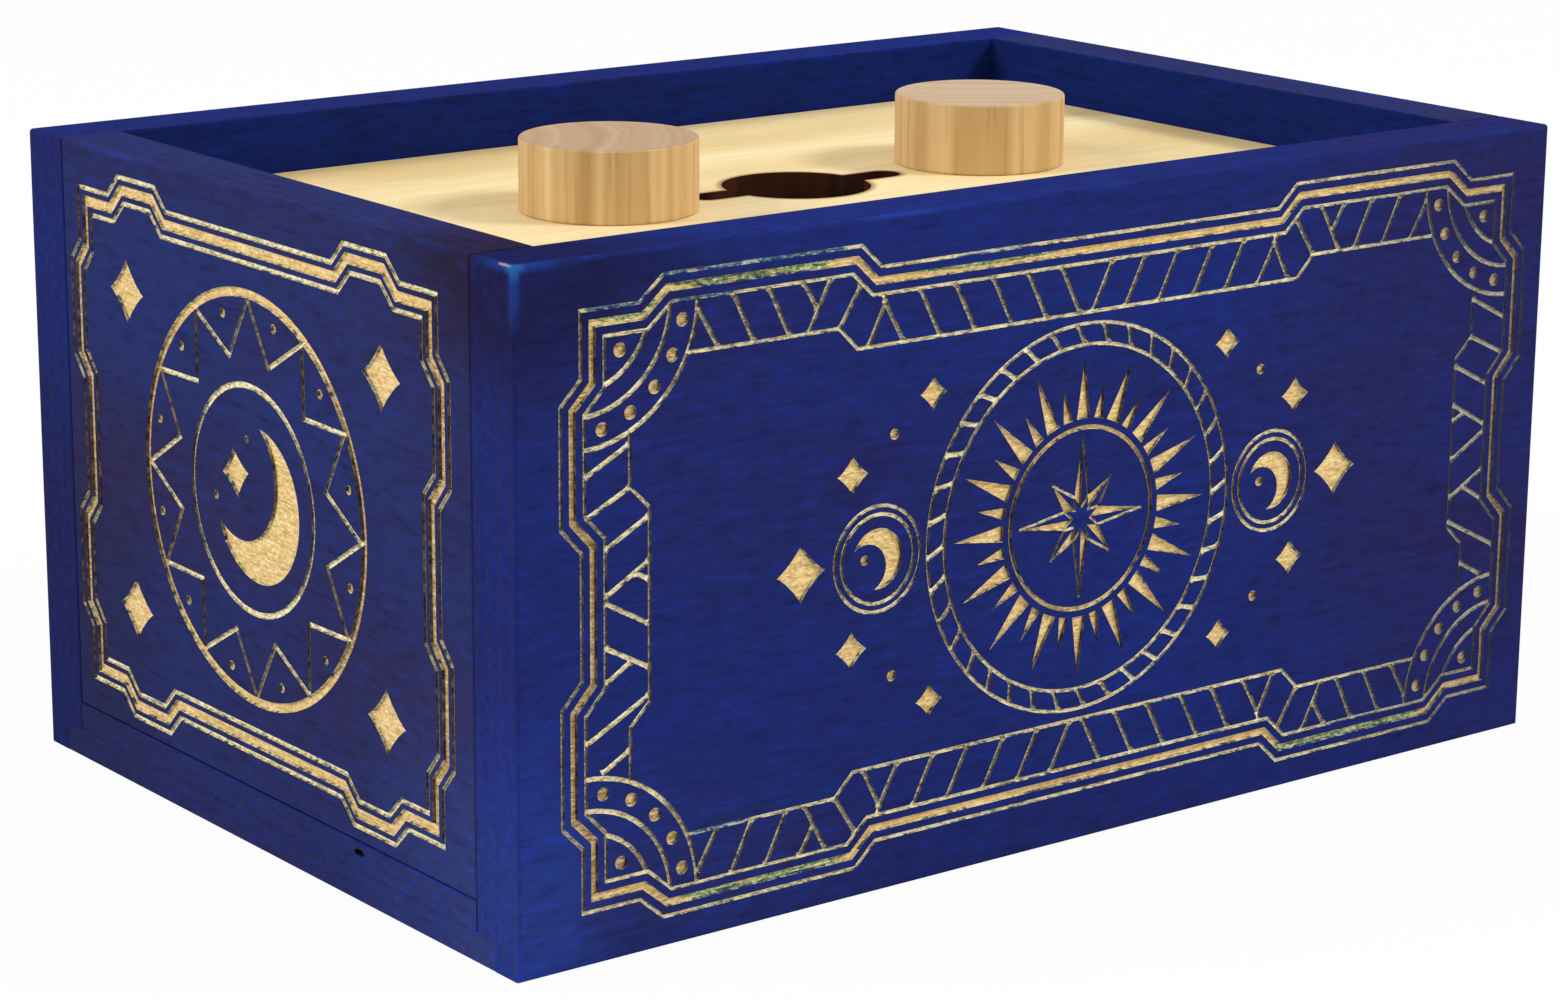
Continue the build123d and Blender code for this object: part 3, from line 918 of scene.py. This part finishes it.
class Face:
    """An outer face of the case, which looks the way of its normal."""

    def __init__(self, *normal):
        self.normal = Vector(normal)
        self.origin = self.normal * Vector((half_length, half_depth, 0))
        self.up = Vector((0, 0, 1))
        self.right = self.up.cross(self.normal)

    def flat(self, point):
        away = point - self.origin
        return away.dot(self.right), away.dot(self.up)

    def height(self, point):
        return (point - self.origin).dot(self.normal)

    def solid(self, x, y, depth):
        return self.origin + self.right * x + self.up * y - self.normal * depth


left_face = Face(-1, 0, 0)
weld = 2e-6

# Material slots of an engraved board: its stain, the sides of the cuts, and the golds of their floors
plain, flank, broad_paint, tan_paint, level_lit_paint, steep_shaded_paint = range(6)


def paint_of(outline):
    """Which paint a cut's floor gets: by its depth, and for a line by the way that it runs, so that steep
    lines get painted shade and level fine lines a painted highlight.
    """
    depth = -outline[0].z
    sides = [(b - a).xy for a, b in zip(outline, outline[1:] + outline[:1])]
    run = sides[0] if len(sides) == 4 else max(sides, key=lambda side: side.length)
    steep = abs(run.y) > abs(run.x)
    if depth < (end_fine_depth + dot_depth) / 2:
        return steep_shaded_paint if steep else level_lit_paint
    if depth < (dot_depth + bold_depth) / 2 or (steep and len(sides) == 4):
        return tan_paint
    return broad_paint


def board_copy(node):
    """A merged copy of a CAD node's mesh."""
    board = bmesh.new()
    board.from_mesh(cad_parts[node].data)
    bmesh.ops.remove_doubles(board, verts=board.verts, dist=weld)
    board.normal_update()
    for face in board.faces:
        face.material_index = plain
    return board


def eased(board, radius):
    """Rounds every edge of a plain board a little."""
    straight = radians(1)
    bmesh.ops.dissolve_limit(board, angle_limit=straight, verts=board.verts, edges=board.edges)
    bmesh.ops.bevel(board, geom=board.edges[:], offset=radius, segments=2, profile=0.5, affect="EDGES")
    return board


def opened(board, face):
    """Takes a board's flat face off. Gives the flat places of its four corners and of all its rim."""
    flat_faces = [f for f in board.faces if all(abs(face.height(v.co)) < weld for v in f.verts)]
    rim_places = [face.flat(v.co) for v in {v for f in flat_faces for v in f.verts}]
    bmesh.ops.delete(board, geom=flat_faces, context="FACES")
    xs, ys = zip(*rim_places)
    return [(min(xs), min(ys)), (max(xs), min(ys)), (max(xs), max(ys)), (min(xs), max(ys))], rim_places


def engrave(board, face, pattern, centre):
    """Cuts the pattern into a board's flat face: the cut face takes the old one's place."""
    panel, rim_places = opened(board, face)

    # The triangulation works in millimetres
    points = [Vector(p) / mm for p in panel]
    outlines = [[0, 1, 2, 3]]
    depths, paints = [0.0], [plain]
    for outline in pattern.faces:
        start = len(points)
        points += [Vector((p.x + centre[0], p.y + centre[1])) / mm for p in outline]
        outlines.append(list(range(start, len(points))))
        depths.append(-outline[0].z)
        paints.append(paint_of(outline))
    points += [Vector(p) / mm for p in rim_places]
    inside, tolerance = 1, 1e-4
    places, _, triangles, _, _, sources = delaunay_2d_cdt(points, [], outlines, inside, tolerance, True)

    floor = [0.0] * len(places)
    for triangle, origins in zip(triangles, sources):
        depth = max(depths[o] for o in origins)
        for corner in triangle:
            floor[corner] = max(floor[corner], depth)
    corners = [board.verts.new(face.solid(p.x * mm, p.y * mm, d)) for p, d in zip(places, floor)]
    for triangle, origins in zip(triangles, sources):
        made = board.faces.new([corners[i] for i in triangle])
        deepest = max(origins, key=lambda o: depths[o])
        if depths[deepest] > 0:
            made.material_index = paints[deepest]
        elif any(floor[i] > 0 for i in triangle):
            made.material_index = flank
    bmesh.ops.remove_doubles(board, verts=board.verts, dist=weld)


def board_piece(name, node, board, materials, body="case"):
    """Makes the finished board a piece that stands for its node."""
    mesh = bpy.data.meshes.new(name)
    board.to_mesh(mesh)
    board.free()
    for material in materials:
        mesh.materials.append(material)
    mesh.attributes.remove(mesh.attributes["custom_normal"])
    mesh.set_sharp_from_angle(angle=radians(25))
    for polygon in mesh.polygons:
        level = max(abs(share) for share in polygon.normal) > 0.9999
        polygon.use_smooth = polygon.material_index == plain and not level
    piece = new_object(name, mesh)
    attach(piece, body)
    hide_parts(node)


def finish_thick_boards():
    """Engraved long walls, with their grain along X, and end panels, with their grain along Y."""
    long_wall = ("x", "y", cool_tone, long_wall_pattern, 60.4 * mm)
    end_panel = ("y", "x", violet_tone, end_panel_pattern, 64.7 * mm)
    finishes = [groove_flank(), *(gold_paint(name, *gold) for name, gold in golds.items())]
    for node, face, middle, (grain, stack, tone, pattern, height) in (
        ("front_wall", Face(0, -1, 0), 1.85 * mm, long_wall),
        ("back_wall", Face(0, 1, 0), 0.0, long_wall),
        ("left_end_panel", left_face, -1.7 * mm, end_panel),
        ("right_end_panel", Face(1, 0, 0), 0.0, end_panel),
    ):
        outward, outer = getattr(face.normal, stack), getattr(face.origin, stack)
        stain = stained_plywood(f"{node}_stain", grain, stack, outward, outer, wall_ply, tone)
        board = board_copy(node)
        engrave(board, face, pattern(), (middle, height))
        board_piece(f"{node}_engraved", node, board, (stain, *finishes))


def core_hollow():
    """A cut in the shape of a void in a ply's core, narrower at its floor."""
    narrow = 0.8
    lower = [(-1.7, -0.2), (-1.2, -0.6), (0.3, -0.65), (1.5, -0.35)]
    upper = [(1.7, 0.1), (0.9, 0.55), (-0.6, 0.6), (-1.5, 0.3)]
    void = Pattern()
    void.outline([(x * mm, y * mm) for x, y in lower + upper])
    void.outline([(narrow * x * mm, narrow * y * mm) for x, y in lower + upper], 2.2 * mm)
    return void


def finish_thin_boards():
    """Base and floor boards with eased edges, and a small core void in the floor board's left edge."""
    ease = 0.12 * mm
    for node in ("base_board", "floor_board"):
        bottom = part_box(node)[0].z
        stain = stained_plywood(f"{node}_stain", "y", "z", -1, bottom, thin_ply, thin_board_tone)
        board = eased(board_copy(node), ease)
        if node == "floor_board":
            engrave(board, left_face, core_hollow(), (31.8 * mm, 8.9 * mm))
        # The hollow's sides and floor are painted near-black as shade
        dark = core_void()
        board_piece(f"{node}_eased", node, board, (stain, dark, dark))


# Plate, knobs and works

def finish_node(node, material):
    """Gives a carried-over CAD node its material."""
    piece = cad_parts[node]
    piece.data.materials.clear()
    piece.data.materials.append(material)


def finish_knobs():
    """Knobs turned from two blanks, with the pith in millimetres from each knob's middle."""
    for side, pith, end_tone in (
        ("left", (-34, 22), (0.8, 0.75, 0.68)),
        ("right", (30, 40), (0.94, 0.95, 0.93)),
    ):
        knob = f"{side}_knob"
        low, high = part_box(knob)
        wood = turned_hardwood(f"{knob}_hardwood", (low + high) / 2, in_metres(pith), end_tone)
        finish_node(knob, wood)


def finish_works():
    """Materials of the works under the plate."""
    strip_shades = (190, 152, 104), (214, 180, 130), (228, 198, 150)
    dowel_shades = (198, 158, 110), (218, 182, 134), (230, 200, 154)
    case_ply = bare_wood("case_plywood", "x", (196, 160, 112), (220, 188, 138), (234, 206, 160))
    strip = bare_wood("stripwood", "x", *strip_shades)
    end_strip = bare_wood("end_stripwood", "y", *strip_shades)
    dowel_along_y = bare_wood("dowel_wood", "y", *dowel_shades)
    spindle_wood = bare_wood("spindle_wood", "z", *dowel_shades)
    brass = turned_metal("washer_brass", rgb(214, 182, 108), 0.22)
    steel = turned_metal("screw_steel", rgb(196, 198, 202), 0.2)
    guides = ("outer_guide", "far_rail", "inner_guide", "bolt_stop")
    for side in ("left", "right"):
        for part in ("bearing_block", *guides, "keeper", "bolt", "pinion"):
            finish_node(f"{side}_{part}", case_ply)
        finish_node(f"{side}_spindle", spindle_wood)
        finish_node(f"{side}_spindle_washer", brass)
        finish_node(f"{side}_spindle_screw", steel)
        finish_node(f"{side}_ledge", end_strip)
    finish_node("front_ledge", strip)
    finish_node("back_ledge", strip)
    finish_node("corner_dowels", dowel_along_y)
    finish_node("keeper_screws", steel)


# Camera, light and floor

def add_camera():
    """Camera at the photograph's place, as solved from the box's corners."""
    azimuth, elevation, roll = radians(-37.589), radians(14.548), radians(0.398)
    place = Vector((-473.4, -610.6, 247.5)) * mm
    sensor_width = 36.0
    image_width, focal_length = 1560, 4127.6
    back = Vector((sin(azimuth) * cos(elevation), -cos(azimuth) * cos(elevation), sin(elevation)))
    right = Vector((0, 0, 1)).cross(back).normalized()
    up = back.cross(right)
    turned = Matrix((right * cos(roll) + up * sin(roll), up * cos(roll) - right * sin(roll), back))
    data = bpy.data.cameras.new("camera")
    data.sensor_fit = "HORIZONTAL"
    data.sensor_width = sensor_width
    data.lens = sensor_width * focal_length / image_width
    data.clip_start = 0.01
    camera = new_object("camera", data)
    camera.matrix_world = Matrix.Translation(place) @ turned.transposed().to_4x4()
    bpy.context.scene.camera = camera


def add_soft_lamp(name, place, size, power):
    """A square lamp that faces the box."""
    data = bpy.data.lights.new(name, "AREA")
    data.shape = "SQUARE"
    data.size = size
    data.energy = power
    lamp = new_object(name, data)
    lamp.location = place
    target = Vector((0, 0, box_top / 2))
    lamp.rotation_euler = (target - lamp.location).to_track_quat("-Z", "Y").to_euler()


def seen_directly(tree):
    """1 for rays from the camera, from gloss and through glass, and 0 for rays that light the box."""
    path = tree.node("ShaderNodeLightPath").outputs
    seen = tree.math("MAXIMUM", path["Is Camera Ray"], path["Is Glossy Ray"])
    return tree.math("MAXIMUM", seen, path["Is Transmission Ray"])


def add_world(light_level):
    """Even light all round, which the camera sees as white."""
    world = bpy.data.worlds.new("studio")
    world.use_nodes = True
    bpy.context.scene.world = world
    tree = Tree(world.node_tree)
    inputs = {"Value": seen_directly(tree), "To Min": light_level, "To Max": 1.0}
    background = world.node_tree.nodes["Background"].inputs
    tree.feed(background["Color"], (1, 1, 1, 1))
    tree.feed(background["Strength"], tree.node("ShaderNodeMapRange", inputs).outputs[0])


def floor_material():
    """A pale matt surface that shines most of its white straight at the camera."""
    whiteness = 0.95
    look = Look("pale_floor", specular=0.5)
    surface = look.surface
    look.feed(surface.inputs["Base Color"], (0.86, 0.86, 0.86, 1))
    look.feed(surface.inputs["Roughness"], 0.9)
    glow = look.node("ShaderNodeEmission")
    share = look.math("MULTIPLY", seen_directly(look), whiteness)
    blend = look.node("ShaderNodeMixShader", {0: share, 1: surface.outputs[0], 2: glow.outputs[0]})
    look.feed(look.tree.nodes["Material Output"].inputs["Surface"], blend.outputs[0])
    return look.material


def add_floor():
    """A plain pale floor just under the box, nearly white to the camera, which keeps a faint shadow."""
    reach, drop = 3.0, 0.2 * mm
    corners = [(x * reach, y * reach, -drop) for x, y in ((-1, -1), (1, -1), (1, 1), (-1, 1))]
    mesh = bpy.data.meshes.new("floor")
    mesh.from_pydata(corners, [], [(0, 1, 2, 3)])
    mesh.materials.append(floor_material())
    new_object("floor", mesh)


finish_thick_boards()
finish_thin_boards()
finish_node("top_plate", plate_plywood())
finish_knobs()
finish_works()
add_camera()
add_soft_lamp("right_front_lamp", (1.35, -1.25, 1.5), 0.55, 30)
add_soft_lamp("left_lamp", (-1.8, 0.7, 1.25), 0.9, 24)
add_world(0.54)
add_floor()
bpy.context.scene.view_settings.view_transform = "Standard"
